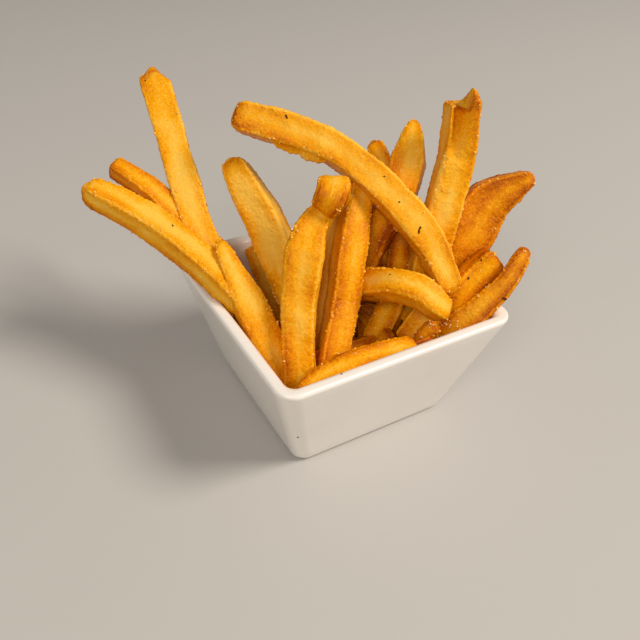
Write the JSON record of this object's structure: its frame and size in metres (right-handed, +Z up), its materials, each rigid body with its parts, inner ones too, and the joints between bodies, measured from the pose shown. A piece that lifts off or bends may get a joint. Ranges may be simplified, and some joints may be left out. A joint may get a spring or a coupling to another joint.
{
  "type": "bowl of french fries",
  "caption": "Small square tapered white porcelain bowl filled with upright, uneven battered french fries that lean out over the rim",
  "frame": {"origin": "centre of the bowl's flat underside", "axes": "+Z up; -Y is the bowl's front face and -X its left face; the corner between them points at the viewer"},
  "size_m": [0.1548, 0.1442, 0.1221],
  "materials": {
    "porcelain": "gloss",
    "fried_batter": "satin"
  },
  "bodies": {
    "root": {"bowl": "porcelain", "fries": "fried_batter"}
  },
  "joints": []
}
